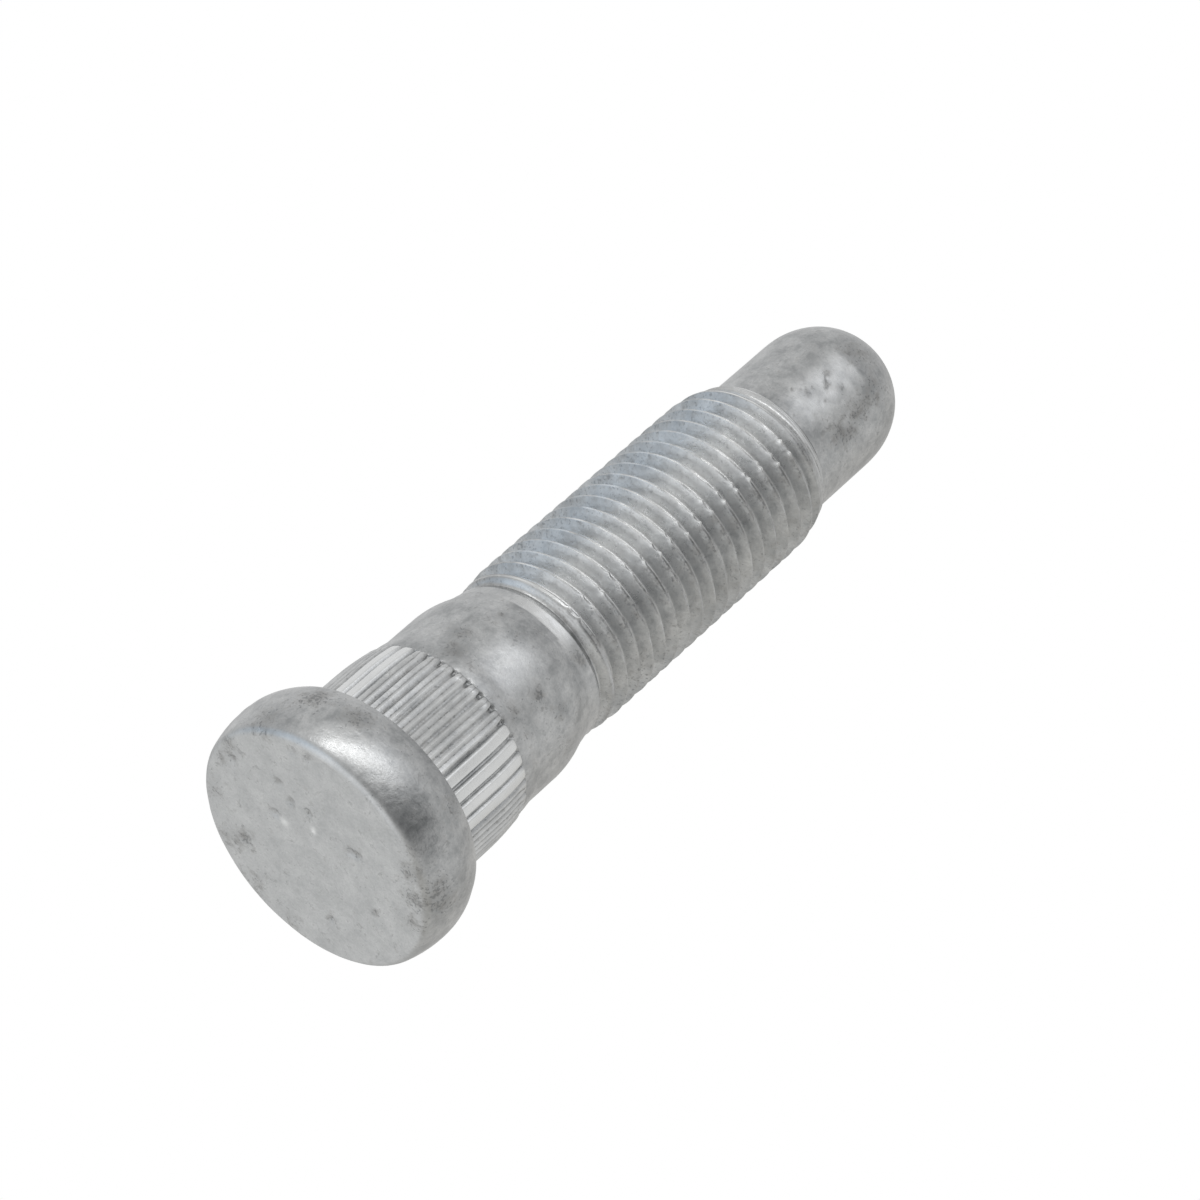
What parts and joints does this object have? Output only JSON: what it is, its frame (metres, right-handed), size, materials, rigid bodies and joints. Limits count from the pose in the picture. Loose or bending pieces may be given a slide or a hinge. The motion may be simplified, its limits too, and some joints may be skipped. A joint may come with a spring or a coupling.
{
  "type": "wheel stud",
  "caption": "Press-in wheel stud: a round head, a serrated band that grips the hub flange, a fine-threaded shank for the wheel nut and a smooth domed pilot point.",
  "frame": {"origin": "centre of the head's flat outer face, which the stud stands on", "axes": "+Z along the stud's own axis, from the head to the domed point; X passes through a serration groove"},
  "size_m": [0.0208, 0.0208, 0.0652],
  "materials": {
    "zinc_plated_steel": "bright zinc plating over forged and rolled steel, satin and mottled"
  },
  "bodies": {
    "root": {"wheel_stud": "zinc_plated_steel"}
  },
  "joints": []
}
